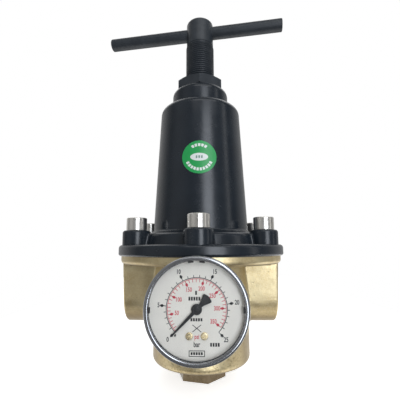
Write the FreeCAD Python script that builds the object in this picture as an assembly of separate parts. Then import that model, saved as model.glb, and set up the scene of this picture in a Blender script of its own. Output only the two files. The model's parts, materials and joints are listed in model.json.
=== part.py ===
# Diaphragm pressure regulator: a brass body with two G1 ports, a painted bonnet over the
# setting spring, an adjusting screw with a bar, and a 61 mm pressure gauge on the front.
# Millimetres. Z runs up the adjusting screw's axis, from the underside of the bottom plug.
# The gauge faces -Y, the inlet -X and the outlet +X.
import FreeCAD, Part

import math
import os

V = FreeCAD.Vector
ORIGIN = V(0, 0, 0)
X_AXIS = V(1, 0, 0)
Y_AXIS = V(0, 1, 0)
Z_AXIS = V(0, 0, 1)

# ---- Driving dimensions ----

RUNNING_GAP = 0.05       # radial clearance between a shaft and its bore
FIT_GAP = 0.03           # the same where the two never move

PLUG_HEX = 35.0          # across flats
PLUG_HEX_TURN = 16.0     # degrees from -Y towards +X to the plug's nearest corner
PLUG_THREAD_R = 15.0
PLUG_TOP_Z = 31.0
PLUG_CUP_Z = 17.0        # floor of the cup that holds the valve spring
PLUG_CUP_R = 10.0
GUIDE_FLOOR_Z = 9.0

BODY_Z = 12.9            # underside of the body, top of the plug's head
BODY_R = 40.0
BODY_UPPER_R = 44.5      # around the outlet and diaphragm chambers
BODY_FLANGE_R = 67.6
BODY_FLANGE_Z = 90.0
SPLIT_Z = 96.5           # joint between body and bonnet

PORT_Z = 66.0
PORT_BOSS_R = 23.5
PORT_BOSS_TOP_HALF = 28.0  # half width where the boss runs into the flange
PORT_SPAN = 122.0        # face to face
PORT_THREAD_R = 15.15    # G1, minor diameter
PORT_DEPTH = 20.0
PASSAGE_R = 8.0
INLET_PASSAGE_Z = 57.5
OUTLET_PASSAGE_Z = 75.5

CHAMBER_R = 32.0         # inlet and outlet chambers, below and above the wall
CHAMBER_Z = 25.0
WALL_Z = 61.0
WALL_TOP_Z = 69.0
SEAT_BORE_R = 12.0
SEAT_Z = 59.0            # edge of the seat, where the valve closes
DISH_Z = 85.0            # floor of the dish under the diaphragm
DISH_R = 39.0
DIAPHRAGM_R = 50.5
DIAPHRAGM_Z = 94.0

STEM_R = 5.0             # poppet stem
PIN_R = 3.5
STUD_R = 5.0
TOP_PLATE_R = 36.0
TOP_PLATE_Z = 100.0      # spring's seat on the top plate
SPIGOT_R = 19.0          # centres the spring on the plate and on the button
BOTTOM_PLATE_R = 29.5
BOTTOM_PLATE_Z = 91.0

BOLT_CIRCLE_R = 58.2
BOLT_COUNT = 6
BOLT_R = 5.0             # M10
BOLT_HEAD_R = 8.0
BOLT_HEAD_H = 10.0
BOLT_SOCKET = 8.0
BOLT_END_Z = 91.4
SCREW_BOSS_R = 10.8
SCREW_BOSS_Z = 116.5

BONNET_FLANGE_R = 70.0
BONNET_FLANGE_Z = 105.3
DRUM_R = 53.4            # at the flange
DRUM_TOP_R = 51.4
DRUM_Z = 113.9
CONE_BASE_R = 41.3
CONE_BASE_Z = 116.4
SHOULDER_R = 35.9        # where the cone would meet the shoulder's top
SHOULDER_Z = 228.8
COLLAR_R = 25.7
BONNET_TOP_Z = 248.0
BONNET_WALL = 6.0
CAVITY_R = 46.0
CAVITY_TOP_Z = 221.0
VENT_Z = 136.0

SPINDLE_R = 13.4         # M27 x 2
SPINDLE_PITCH = 2.0
SPINDLE_ROOT_R = 12.3
SPINDLE_TIP_Z = 210.0
THREAD_START_Z = 218.0
HEAD_R = 12.85
HEAD_Z = 297.0
TOP_Z = 321.0
NUT_HEX = 39.5
NUT_H = 10.0

BAR_R = 5.9
BAR_Z = 311.0
BAR_LONG_END = 91.6
BAR_SHORT_END = 79.0
BAR_TURN = -8.0          # degrees about Z from +X

LABEL_R = 13.7
LABEL_Z = 174.0
LABEL_THICKNESS = 0.3

SPRING_OUTER_R = 27.0
SPRING_WIRE = 7.0
SPRING_TURNS = 8
BUTTON_Z = 206.0         # spring's seat under the button
BUTTON_TOP_Z = 213.0
VALVE_SPRING_R = 7.6
VALVE_SPRING_WIRE = 1.4
VALVE_SPRING_TURNS = 9
POPPET_Z = 51.0          # underside of the poppet's disc
POPPET_R = 13.0

GAUGE_X = -0.4
GAUGE_Z = 67.8
GAUGE_BACK_Y = -71.4     # rear face of the gauge's case, in front of the flanges
GAUGE_PAD_Y = -60.5
GAUGE_PAD_R = 13.0
GAUGE_THREAD_R = 5.72    # G1/4, minor diameter
GAUGE_THREAD_DEPTH = 12.0
GAUGE_HEX = 14.0
WASHER_THICKNESS = 1.5
NECK_R = 6.0             # where the stem passes through the case
SENSE_R = 1.5            # passage from the dish to the gauge
SENSE_Y = -36.0
CASE_R = 29.4
CASE_RIM_R = 30.6
CASE_DEPTH = 18.8
CASE_WALL = 1.0
CASE_LIP_R = 27.7
WINDOW_R = 28.3
WINDOW_W = 16.3          # heights above the case's rear face end in _W
WINDOW_THICKNESS = 1.5
DIAL_R = 28.2
DIAL_W = 13.4
DIAL_THICKNESS = 0.6
DIAL_FACE = DIAL_W + DIAL_THICKNESS
DIAL_SCREW_SPOTS = [(-4.4, -14.8), (4.4, -14.8)]
POINTER_REACH = 19.4
POINTER_TAIL = 10.3
POINTER_ZERO = 225.0     # degrees from the gauge's right-hand side, anticlockwise
POINTER_LIFT = 0.9       # gap between the dial and the pointer
TUBE_R = 22.0
TUBE_W = 3.4
TUBE_HALF_HEIGHT = 1.8
TUBE_HALF_WIDTH = 1.2
TUBE_START = 240.0
TUBE_SWEEP = 275.0
PLATE_LEVELS = [(4.2, 5.2), (10.6, 11.6)]
PILLAR_SPOTS = [(0, 6.8), (-5, -20.6)]
ARBOR_R = 0.8
PINION_TEETH = 12
SECTOR_TEETH = 72        # on the full circle
GEAR_MODULE = 0.4
GEAR_W = 6.6
GEAR_FACE = 1.5
PINION_R = PINION_TEETH * GEAR_MODULE / 2
SECTOR_R = SECTOR_TEETH * GEAR_MODULE / 2
SECTOR_Y = -PINION_R - SECTOR_R
TAIL_ANGLE = -20.0
TAIL_REACH = 6.0
LINK_W = 5.6
LINK_THICKNESS = 0.8
COLLET_W = 8.8
COLLET_R = 1.3

BOLT_ANGLES = [-90 + 360 / BOLT_COUNT * i for i in range(BOLT_COUNT)]
PORT_FACE_X = PORT_SPAN / 2


# ---- Shape helpers ----

def corner(before, point, after, radius):
    """Tangent points and middle of the arc that rounds a corner."""
    back = (before - point).normalize()
    ahead = (after - point).normalize()
    half = back.getAngle(ahead) / 2
    reach = radius / math.tan(half)
    middle = (back + ahead).normalize() * (radius / math.sin(half) - radius)
    return point + back * reach, point + middle, point + ahead * reach


def outline(points, place):
    """Face inside a closed line of (a, b) or (a, b, corner radius) points."""
    spots = [place(p[0], p[1]) for p in points]
    edges = []
    last = None
    first = None
    for i, p in enumerate(points):
        here = spots[i]
        radius = p[2] if len(p) > 2 else 0
        if radius:
            enter, middle, leave = corner(spots[i - 1], here, spots[(i + 1) % len(spots)], radius)
        else:
            enter = middle = leave = here
        if last is None:
            first = enter
        elif last.distanceToPoint(enter) > 1e-6:
            edges.append(Part.LineSegment(last, enter).toShape())
        if radius:
            edges.append(Part.Arc(enter, middle, leave).toShape())
        last = leave
    if last.distanceToPoint(first) > 1e-6:
        edges.append(Part.LineSegment(last, first).toShape())
    return Part.Face(Part.Wire(edges))


def lathe(points):
    """Solid turned about Z from (radius, height) points."""
    face = outline(points, lambda r, z: V(r, 0, z))
    return face.revolve(ORIGIN, Z_AXIS, 360)


def plate(points, height, z=0):
    """Solid of constant height above a flat outline in X and Y."""
    return outline(points, lambda x, y: V(x, y, z)).extrude(V(0, 0, height))


def rod(radius, start, end):
    axis = end - start
    return Part.makeCylinder(radius, axis.Length, start, axis)


def upright(radius, low, high, x=0, y=0):
    return rod(radius, V(x, y, low), V(x, y, high))


def hexagon(across_flats, low, high, turn):
    """Hexagonal prism with one corner at the angle turn, in degrees."""
    reach = across_flats / 2 / math.cos(math.pi / 6)
    angles = [math.radians(turn + 60 * i) for i in range(6)]
    return plate([(reach * math.cos(a), reach * math.sin(a)) for a in angles], high - low, low)


def eased_hexagon(across_flats, low, high, turn, ease_low, ease_high):
    """Hexagon whose corners are turned down by 30 degrees at the ends that are eased."""
    reach = across_flats / 2 / math.cos(math.pi / 6)
    inner = across_flats / 2 * 0.97
    drop = (reach - inner) * math.tan(math.pi / 6)
    low_points = [(inner, low), (reach, low + drop)] if ease_low else [(reach, low)]
    high_points = [(reach, high - drop), (inner, high)] if ease_high else [(reach, high)]
    envelope = lathe([(0, low)] + low_points + high_points + [(0, high)])
    return hexagon(across_flats, low, high, turn).common(envelope)


def polar(radius, degrees, z=0):
    a = math.radians(degrees)
    return V(radius * math.cos(a), radius * math.sin(a), z)


def around(shape, angles):
    """Copies of a shape turned about Z."""
    copies = []
    for angle in angles:
        copy = shape.copy()
        copy.rotate(ORIGIN, Z_AXIS, angle)
        copies.append(copy)
    return copies


def fused(shapes):
    return shapes[0].fuse(shapes[1:]).removeSplitter()


def coil(radius, wire, low, high, turns):
    """Compression spring with ends ground flat."""
    pitch = (high - low) / turns
    extra = pitch
    helix = Part.makeHelix(pitch, high - low + 2 * extra, radius)
    section = Part.Wire(Part.makeCircle(wire / 2, V(radius, 0, 0), Y_AXIS))
    sweep = helix.makePipeShell([section], True, True)
    sweep.translate(V(0, 0, low - extra))
    reach = radius + wire
    return sweep.common(upright(reach, low, high))


def in_gauge(shape):
    """Moves a shape drawn about the gauge's own axis, +Z outwards, to its place."""
    shape.rotate(ORIGIN, X_AXIS, 90)
    shape.translate(V(GAUGE_X, GAUGE_BACK_Y, GAUGE_Z))
    return shape


# ---- Brass body and valve ----

def port_bosses():
    """Both port bosses as one bar: round below, with sides that spread towards the flange."""
    top = BODY_FLANGE_Z + 1
    rise = top - PORT_Z
    reach = math.hypot(PORT_BOSS_TOP_HALF, rise)
    turn = math.atan2(rise, PORT_BOSS_TOP_HALF) - math.acos(PORT_BOSS_R / reach)
    touch_y = PORT_BOSS_R * math.cos(turn)
    touch_z = PORT_Z + PORT_BOSS_R * math.sin(turn)
    left = V(-PORT_FACE_X, -touch_y, touch_z)
    right = V(-PORT_FACE_X, touch_y, touch_z)
    bottom = V(-PORT_FACE_X, 0, PORT_Z - PORT_BOSS_R)
    high_left = V(-PORT_FACE_X, -PORT_BOSS_TOP_HALF, top)
    high_right = V(-PORT_FACE_X, PORT_BOSS_TOP_HALF, top)
    edges = [
        Part.Arc(left, bottom, right).toShape(),
        Part.LineSegment(right, high_right).toShape(),
        Part.LineSegment(high_right, high_left).toShape(),
        Part.LineSegment(high_left, left).toShape(),
    ]
    bar = Part.Face(Part.Wire(edges)).extrude(V(PORT_SPAN, 0, 0))
    return bar.makeFillet(1.8, [e for e in bar.Edges if is_end_rim(e, top)])


def is_end_rim(edge, top):
    """Edge of a port boss's end face, other than the one inside the flange."""
    box = edge.BoundBox
    return box.XLength < 0.01 and box.ZMin < top - 0.01


def is_boss_root(edge):
    """Edge where a port boss meets the round body."""
    box = edge.BoundBox
    middle = edge.valueAt((edge.FirstParameter + edge.LastParameter) / 2)
    on_body = abs(math.hypot(middle.x, middle.y) - BODY_UPPER_R) < 0.05
    upright_edge = box.ZLength > 10
    return on_body and upright_edge and BODY_Z + 20 < middle.z < BODY_FLANGE_Z


def body_outside():
    turned = lathe([
        (0, BODY_Z), (BODY_R, BODY_Z, 4.5), (BODY_R, PORT_Z - 12, 2), (BODY_UPPER_R, PORT_Z - 7, 2),
        (BODY_UPPER_R, BODY_FLANGE_Z), (BODY_FLANGE_R, BODY_FLANGE_Z, 3.5), (BODY_FLANGE_R, SPLIT_Z),
        (0, SPLIT_Z),
    ])
    cast = fused([turned, port_bosses()])
    cast = cast.makeFillet(2.5, [e for e in cast.Edges if is_boss_root(e)])
    pad = rod(GAUGE_PAD_R, V(GAUGE_X, -BODY_R + 8, GAUGE_Z), V(GAUGE_X, GAUGE_PAD_Y, GAUGE_Z))
    return fused([cast, pad])


def port_bore(side):
    mouth = V(side * PORT_FACE_X, 0, PORT_Z)
    inward = V(-side, 0, 0)
    bore = rod(PORT_THREAD_R, mouth, mouth + inward * PORT_DEPTH)
    chamfer = Part.makeCone(PORT_THREAD_R + 1.6, PORT_THREAD_R, 1.6, mouth, inward)
    return bore.fuse(chamfer)


def regulator_body():
    bore_end = PORT_FACE_X - PORT_DEPTH
    gauge_mouth = V(GAUGE_X, GAUGE_PAD_Y, GAUGE_Z)
    gauge_end = gauge_mouth + Y_AXIS * GAUGE_THREAD_DEPTH
    inside = [
        upright(PLUG_THREAD_R, BODY_Z, CHAMBER_Z),
        lathe([(0, CHAMBER_Z), (CHAMBER_R, CHAMBER_Z, 4), (CHAMBER_R, WALL_Z, 3), (0, WALL_Z)]),
        upright(SEAT_BORE_R, WALL_Z, WALL_TOP_Z),
        lathe([(0, WALL_TOP_Z), (CHAMBER_R, WALL_TOP_Z, 3), (CHAMBER_R, DISH_Z), (DISH_R, DISH_Z, 2),
               (DISH_R, SPLIT_Z), (0, SPLIT_Z)]),
        upright(DIAPHRAGM_R + 0.5, DIAPHRAGM_Z, SPLIT_Z),
        port_bore(-1),
        port_bore(1),
        rod(PASSAGE_R, V(-bore_end - 1, 0, INLET_PASSAGE_Z), V(-CHAMBER_R + 2, 0, INLET_PASSAGE_Z)),
        rod(PASSAGE_R, V(CHAMBER_R - 2, 0, OUTLET_PASSAGE_Z), V(bore_end + 1, 0, OUTLET_PASSAGE_Z)),
        rod(GAUGE_THREAD_R, gauge_mouth, gauge_end),
        rod(SENSE_R, gauge_end - Y_AXIS, V(GAUGE_X, SENSE_Y, GAUGE_Z)),
        upright(SENSE_R, GAUGE_Z - SENSE_R, DISH_Z + 1, GAUGE_X, SENSE_Y),
    ]
    holes = around(upright(BOLT_R + FIT_GAP, BODY_FLANGE_Z - 1, SPLIT_Z + 1, BOLT_CIRCLE_R), BOLT_ANGLES)
    return body_outside().cut(inside + holes)


def bottom_plug():
    head = hexagon(PLUG_HEX, 0, BODY_Z, -90 + PLUG_HEX_TURN)
    shank_r = PLUG_THREAD_R - FIT_GAP
    shank = lathe([(0, BODY_Z - 1), (shank_r, BODY_Z - 1), (shank_r, PLUG_TOP_Z - 1),
                   (shank_r - 1, PLUG_TOP_Z), (0, PLUG_TOP_Z)])
    cup = upright(PLUG_CUP_R, PLUG_CUP_Z, PLUG_TOP_Z)
    guide = upright(STEM_R + RUNNING_GAP, GUIDE_FLOOR_Z, PLUG_CUP_Z)
    groove = lathe([(shank_r, BODY_Z - 1.8), (shank_r + 1.9, BODY_Z - 1.8), (shank_r + 1.9, BODY_Z + 1),
                    (shank_r, BODY_Z + 1)])
    return head.fuse(shank).cut([cup, guide, groove]).removeSplitter()


def plug_seal():
    return Part.makeTorus(PLUG_THREAD_R + 0.92, 0.87, V(0, 0, BODY_Z - 0.9), Z_AXIS)


def valve_seat():
    """Insert pressed into the wall, with a narrow raised edge below."""
    outer = SEAT_BORE_R - FIT_GAP
    return lathe([
        (8.5, SEAT_Z + 1.2), (9.4, SEAT_Z), (10, SEAT_Z), (10.9, WALL_Z), (outer, WALL_Z),
        (outer, WALL_TOP_Z), (14.5, WALL_TOP_Z), (14.5, WALL_TOP_Z + 2.5), (8.5, WALL_TOP_Z + 2.5, 0.8),
    ])


def valve_poppet():
    """Disc that carries the seal, on a stem that slides in the plug."""
    seal_z = SEAT_Z - 3
    return lathe([
        (0, PLUG_CUP_Z - 4), (STEM_R - 1, PLUG_CUP_Z - 4), (STEM_R, PLUG_CUP_Z - 3), (STEM_R, POPPET_Z),
        (POPPET_R, POPPET_Z, 0.6), (POPPET_R, seal_z + 1.5, 0.4), (POPPET_R - 1, seal_z + 1.5),
        (POPPET_R - 1, seal_z), (STEM_R, seal_z), (STEM_R, SEAT_Z), (0, SEAT_Z),
    ])


def poppet_seal():
    inner = STEM_R + FIT_GAP
    outer = POPPET_R - 1 - FIT_GAP
    return lathe([(inner, SEAT_Z - 3), (outer, SEAT_Z - 3), (outer, SEAT_Z, 0.3), (inner, SEAT_Z)])


# ---- Diaphragm set ----

def diaphragm():
    """Rubber disc with one fold, clamped at its rim and between the two plates."""
    hole = STUD_R + 0.1
    fold_in = BOTTOM_PLATE_R + 1
    fold_out = DISH_R
    fold_z = DIAPHRAGM_Z - 3.5
    over = 1.6
    return lathe([
        (hole, DIAPHRAGM_Z), (fold_in, DIAPHRAGM_Z, 0.5), (fold_in + 1.2, fold_z, 1.2),
        (fold_out - 1.2, fold_z, 1.2), (fold_out, DIAPHRAGM_Z, 0.5), (DIAPHRAGM_R, DIAPHRAGM_Z),
        (DIAPHRAGM_R, SPLIT_Z), (fold_out + 0.5, SPLIT_Z, 0.5), (fold_out - 2.2, fold_z + over, 0.6),
        (fold_in + 2.2, fold_z + over, 0.6), (fold_in - 0.5, SPLIT_Z, 0.5), (hole, SPLIT_Z),
    ])


def diaphragm_top_plate():
    hole = STUD_R + 0.1
    return lathe([
        (hole, SPLIT_Z), (TOP_PLATE_R, SPLIT_Z, 0.8), (TOP_PLATE_R, TOP_PLATE_Z, 0.8),
        (SPIGOT_R + 0.5, TOP_PLATE_Z, 0.5), (SPIGOT_R, TOP_PLATE_Z + 3, 1), (hole, TOP_PLATE_Z + 3),
    ])


def diaphragm_bottom_plate():
    hole = STUD_R + 0.1
    return lathe([
        (hole, BOTTOM_PLATE_Z), (BOTTOM_PLATE_R, BOTTOM_PLATE_Z, 1.2), (BOTTOM_PLATE_R, DIAPHRAGM_Z, 0.5),
        (hole, DIAPHRAGM_Z),
    ])


def diaphragm_stud():
    """Pin that pushes the valve open, hexagon under the plates and thread through them."""
    head_z = BOTTOM_PLATE_Z - 6
    pin = lathe([(0, SEAT_Z), (PIN_R - 0.5, SEAT_Z), (PIN_R, SEAT_Z + 0.5), (PIN_R, head_z + 1),
                 (0, head_z + 1)])
    head = eased_hexagon(16, head_z, BOTTOM_PLATE_Z, 0, True, False)
    shank_top = TOP_PLATE_Z + 13
    shank = lathe([(0, BOTTOM_PLATE_Z - 1), (STUD_R, BOTTOM_PLATE_Z - 1), (STUD_R, shank_top - 1),
                   (STUD_R - 0.8, shank_top), (0, shank_top)])
    return fused([pin, head, shank])


def diaphragm_nut():
    low = TOP_PLATE_Z + 3
    return eased_hexagon(17, low, low + 6, 15, False, True).cut(upright(STUD_R + 0.1, low - 1, low + 7))


# ---- Bonnet, its screws and its label ----

def cone_radius(z):
    return CONE_BASE_R + (SHOULDER_R - CONE_BASE_R) * (z - CONE_BASE_Z) / (SHOULDER_Z - CONE_BASE_Z)


def screw_boss():
    low = BONNET_FLANGE_Z - 2
    return lathe([(0, low), (SCREW_BOSS_R, low), (SCREW_BOSS_R, SCREW_BOSS_Z, 2), (0, SCREW_BOSS_Z)])


def is_boss_seam(edge):
    """Edge where a screw boss meets the drum's sloping side."""
    middle = edge.valueAt((edge.FirstParameter + edge.LastParameter) / 2)
    on_drum = DRUM_TOP_R < math.hypot(middle.x, middle.y) < DRUM_R
    return on_drum and edge.BoundBox.ZLength > 3


def bonnet_outside():
    turned = lathe([
        (0, SPLIT_Z), (BONNET_FLANGE_R, SPLIT_Z, 2), (BONNET_FLANGE_R, BONNET_FLANGE_Z, 2.8),
        (DRUM_R, BONNET_FLANGE_Z), (DRUM_TOP_R, DRUM_Z, 4), (CONE_BASE_R, CONE_BASE_Z, 2.2),
        (SHOULDER_R, SHOULDER_Z, 6), (COLLAR_R, SHOULDER_Z, 1.5), (COLLAR_R, BONNET_TOP_Z, 6),
        (0, BONNET_TOP_Z),
    ])
    boss = screw_boss()
    boss.translate(V(BOLT_CIRCLE_R, 0, 0))
    whole = fused([turned] + around(boss, BOLT_ANGLES))
    return whole.makeFillet(2.2, [e for e in whole.Edges if is_boss_seam(e)])


def bonnet():
    narrow_z = DRUM_Z + 1.3
    cavity = lathe([
        (0, SPLIT_Z), (CAVITY_R, SPLIT_Z), (CAVITY_R, BONNET_FLANGE_Z + 1.6, 3),
        (cone_radius(narrow_z) - BONNET_WALL, narrow_z, 3),
        (cone_radius(CAVITY_TOP_Z) - BONNET_WALL, CAVITY_TOP_Z, 5), (0, CAVITY_TOP_Z),
    ])
    bore_r = SPINDLE_R + RUNNING_GAP
    bore = upright(bore_r, CAVITY_TOP_Z - 1, BONNET_TOP_Z + 1)
    lead_in = Part.makeCone(bore_r + 1, bore_r, 1, V(0, 0, BONNET_TOP_Z), V(0, 0, -1))
    vent = rod(2.5, V(0, 0, VENT_Z), V(0, DRUM_R, VENT_Z))
    holes = around(upright(BOLT_R + 0.5, SPLIT_Z - 1, SCREW_BOSS_Z + 1, BOLT_CIRCLE_R), BOLT_ANGLES)
    return bonnet_outside().cut([cavity, bore, lead_in, vent] + holes)


def bonnet_screws():
    base = SCREW_BOSS_Z
    top = base + BOLT_HEAD_H
    turned = lathe([
        (0, BOLT_END_Z), (BOLT_R - 0.8, BOLT_END_Z), (BOLT_R, BOLT_END_Z + 0.8), (BOLT_R, base),
        (BOLT_HEAD_R, base, 0.3), (BOLT_HEAD_R, top, 0.9), (0, top),
    ])
    screw = turned.cut(hexagon(BOLT_SOCKET, base + BOLT_HEAD_H / 2, top + 1, 12))
    screw.translate(V(BOLT_CIRCLE_R, 0, 0))
    return Part.Compound(around(screw, BOLT_ANGLES))


def label():
    """Thin round sticker wrapped on the cone's front."""
    low = LABEL_Z - 20
    high = LABEL_Z + 20
    skin = Part.makeCone(cone_radius(low) + LABEL_THICKNESS, cone_radius(high) + LABEL_THICKNESS,
                         high - low, V(0, 0, low), Z_AXIS)
    under = Part.makeCone(cone_radius(low), cone_radius(high), high - low, V(0, 0, low), Z_AXIS)
    cutter = rod(LABEL_R, V(0, 0, LABEL_Z), V(0, -60, LABEL_Z))
    return skin.cut(under).common(cutter)


# ---- Spring, button, adjusting screw and nut ----

def main_spring():
    return coil(SPRING_OUTER_R - SPRING_WIRE / 2, SPRING_WIRE, TOP_PLATE_Z, BUTTON_Z, SPRING_TURNS)


def valve_spring():
    return coil(VALVE_SPRING_R, VALVE_SPRING_WIRE, PLUG_CUP_Z, POPPET_Z, VALVE_SPRING_TURNS)


def spring_button():
    """Disc on the spring, with a spigot below and a pocket for the spindle's tip above."""
    pocket_r = 9.0
    return lathe([
        (0, BUTTON_Z - 7), (SPIGOT_R - 0.5, BUTTON_Z - 7, 1), (SPIGOT_R, BUTTON_Z),
        (SPRING_OUTER_R, BUTTON_Z, 0.8), (SPRING_OUTER_R, BUTTON_TOP_Z, 1.5), (pocket_r, BUTTON_TOP_Z, 0.8),
        (pocket_r, SPINDLE_TIP_Z), (0, SPINDLE_TIP_Z),
    ])


def adjusting_screw():
    """Spindle with a grooved thread, a pointed lower end and a cross-drilled head."""
    points = [(0, SPINDLE_TIP_Z), (6, SPINDLE_TIP_Z, 1), (8.5, SPINDLE_TIP_Z + 4),
              (SPINDLE_ROOT_R - 0.4, THREAD_START_Z - 1)]
    flank = SPINDLE_PITCH * 0.42
    z = THREAD_START_Z
    while z + SPINDLE_PITCH < HEAD_Z:
        points += [(SPINDLE_ROOT_R, z), (SPINDLE_R, z + flank), (SPINDLE_R, z + SPINDLE_PITCH - flank)]
        z += SPINDLE_PITCH
    points += [(SPINDLE_ROOT_R, z), (HEAD_R, z + 0.4), (HEAD_R, TOP_Z, 2), (0, TOP_Z)]
    hole = rod(BAR_R + FIT_GAP, polar(-30, BAR_TURN, BAR_Z), polar(30, BAR_TURN, BAR_Z))
    return lathe(points).cut(hole)


def tommy_bar():
    bar = rod(BAR_R, polar(-BAR_LONG_END, BAR_TURN, BAR_Z), polar(BAR_SHORT_END, BAR_TURN, BAR_Z))
    return bar.makeChamfer(0.5, [e for e in bar.Edges if e.Closed])


def jam_nut():
    top = BONNET_TOP_Z + NUT_H
    nut = eased_hexagon(NUT_HEX, BONNET_TOP_Z, top, -90, False, True)
    return nut.cut(upright(SPINDLE_R + RUNNING_GAP, BONNET_TOP_Z - 1, top + 1))


# ---- Gauge, drawn about its own axis and then put in place ----

def gauge_washer():
    rear = GAUGE_BACK_Y - GAUGE_PAD_Y
    front = rear + WASHER_THICKNESS
    return in_gauge(lathe([(6.7, rear), (9.5, rear), (9.5, front), (6.7, front)]))


def gauge_socket():
    """Stem with its thread and hexagon, and the block inside the case that holds the tube."""
    rear = GAUGE_BACK_Y - GAUGE_PAD_Y
    stem_end = rear - GAUGE_THREAD_DEPTH + 1
    stem_r = GAUGE_THREAD_R - FIT_GAP
    hex_low = rear + WASHER_THICKNESS
    stem = lathe([(0, stem_end), (stem_r - 0.8, stem_end), (stem_r, stem_end + 1), (stem_r, hex_low + 1),
                  (0, hex_low + 1)])
    hexagonal = eased_hexagon(GAUGE_HEX, hex_low, 0, 0, False, True)
    neck = upright(NECK_R, -1, CASE_WALL + 1)
    block_height = PLATE_LEVELS[0][0] - CASE_WALL
    block = plate([(-4.5, 8, 2), (-4.5, -24, 2), (4.5, -24, 2), (4.5, 8, 2)], block_height, CASE_WALL)
    block.rotate(ORIGIN, Z_AXIS, TUBE_START - 270)
    channel = upright(1.5, stem_end - 1, TUBE_W)
    side_channel = rod(1, V(0, 0, TUBE_W), polar(TUBE_R, TUBE_START, TUBE_W))
    return in_gauge(fused([stem, hexagonal, neck, block]).cut([channel, side_channel, tube_solid()]))


def swept_ellipse(half_height, half_width, sweep):
    """Flattened round bar bent to an arc about the gauge's axis."""
    centre = V(TUBE_R, 0, TUBE_W)
    ellipse = Part.Ellipse(centre + V(0, 0, half_height), centre + V(half_width, 0, 0), centre)
    bent = Part.Face(Part.Wire(ellipse.toShape())).revolve(ORIGIN, Z_AXIS, -sweep)
    bent.rotate(ORIGIN, Z_AXIS, TUBE_START)
    return bent


def tube_solid():
    return swept_ellipse(TUBE_HALF_HEIGHT, TUBE_HALF_WIDTH, TUBE_SWEEP)


def bourdon_tube():
    """The tube is hollow and closed at its free end."""
    wall = 0.35
    bore = swept_ellipse(TUBE_HALF_HEIGHT - wall, TUBE_HALF_WIDTH - wall, TUBE_SWEEP - 4)
    return in_gauge(tube_solid().cut(bore))


def gauge_case():
    """Deep-drawn cup with a rounded rim and a groove that the window snaps into."""
    window_top = WINDOW_W + WINDOW_THICKNESS
    groove_r = WINDOW_R + 0.1
    inner_r = CASE_R - CASE_WALL
    hole_r = NECK_R + 0.1
    step_w = CASE_DEPTH - 6
    return in_gauge(lathe([
        (hole_r, 0), (CASE_R, 0, 2.5), (CASE_R, step_w - 1, 0.5), (CASE_RIM_R, step_w, 0.6),
        (CASE_RIM_R, CASE_DEPTH, 1.5), (CASE_LIP_R, CASE_DEPTH, 1.0), (CASE_LIP_R, window_top + 0.1),
        (groove_r, window_top + 0.1), (groove_r, WINDOW_W - 0.1), (CASE_LIP_R, WINDOW_W - 0.1),
        (CASE_LIP_R, DIAL_FACE + 1.3), (inner_r, DIAL_FACE + 0.6), (inner_r, CASE_WALL, 1.5),
        (hole_r, CASE_WALL),
    ]))


def gauge_window():
    window_top = WINDOW_W + WINDOW_THICKNESS
    pane = lathe([(0, WINDOW_W), (WINDOW_R, WINDOW_W, 0.2), (WINDOW_R, window_top, 0.2), (0, window_top)])
    outer = WINDOW_R + 1
    inner = CASE_LIP_R - 0.9
    notch = plate([(inner, -1.7), (outer, -1.7), (outer, 1.7), (inner, 1.7)], 3, WINDOW_W - 0.5)
    return in_gauge(pane.cut(around(notch, [0, 83, 97, 180])))


def gauge_dial():
    disc = lathe([(1.6, DIAL_W), (DIAL_R, DIAL_W), (DIAL_R, DIAL_FACE), (1.6, DIAL_FACE)])
    holes = [upright(1.3, DIAL_W - 1, DIAL_FACE + 1, x, y) for x, y in DIAL_SCREW_SPOTS]
    return in_gauge(disc.cut(holes))


def dial_screws():
    low = PLATE_LEVELS[1][0] + 0.5
    screws = []
    for x, y in DIAL_SCREW_SPOTS:
        screw = lathe([(0, low), (1.2, low), (1.2, DIAL_FACE), (2.1, DIAL_FACE),
                       (2.1, DIAL_FACE + 1.1, 0.6), (0, DIAL_FACE + 1.1)])
        screw = screw.cut(Part.makeBox(6, 0.5, 1, V(-3, -0.25, DIAL_FACE + 0.6)))
        screw.translate(V(x, y, 0))
        screws.append(screw)
    return in_gauge(Part.Compound(screws))


def pointer():
    """Needle, hub disc and fan-shaped tail in one flat piece, with a small round cap."""
    low = DIAL_FACE + POINTER_LIFT
    needle = plate([(-0.43, -POINTER_REACH), (0.43, -POINTER_REACH), (1.1, 0), (-1.1, 0)], 0.5, low)
    flare = [(0.85, 0), (1.4, 4.4), (3.5, POINTER_TAIL - 1.1, 0.8)]
    mirrored = [(-point[0],) + point[1:] for point in reversed(flare)]
    tail = plate(flare + [(0, POINTER_TAIL, 4)] + mirrored, 0.5, low)
    hub = upright(3.1, low, low + 0.5)
    cap = lathe([(0, low), (1.7, low), (1.7, low + 1, 0.4), (0, low + 1)])
    whole = fused([needle, tail, hub, cap]).cut(upright(ARBOR_R, low - 1, low + 0.6))
    whole.rotate(ORIGIN, Z_AXIS, POINTER_ZERO - 270)
    return in_gauge(whole)


def pointer_stop():
    spot = polar(POINTER_REACH - 0.6, POINTER_ZERO + 4)
    return in_gauge(upright(0.45, DIAL_FACE, DIAL_FACE + 1.8, spot.x, spot.y))


def tooth(pitch_r, angle, inner_r):
    """One straight-sided tooth that points along the angle."""
    pitch = math.pi * GEAR_MODULE
    root_half = 0.27 * pitch
    tip_half = 0.11 * pitch
    tip_r = pitch_r + 0.9 * GEAR_MODULE
    shape = plate([(inner_r, -root_half), (tip_r, -tip_half), (tip_r, tip_half), (inner_r, root_half)],
                  GEAR_FACE, GEAR_W)
    shape.rotate(ORIGIN, Z_AXIS, angle)
    return shape


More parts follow.
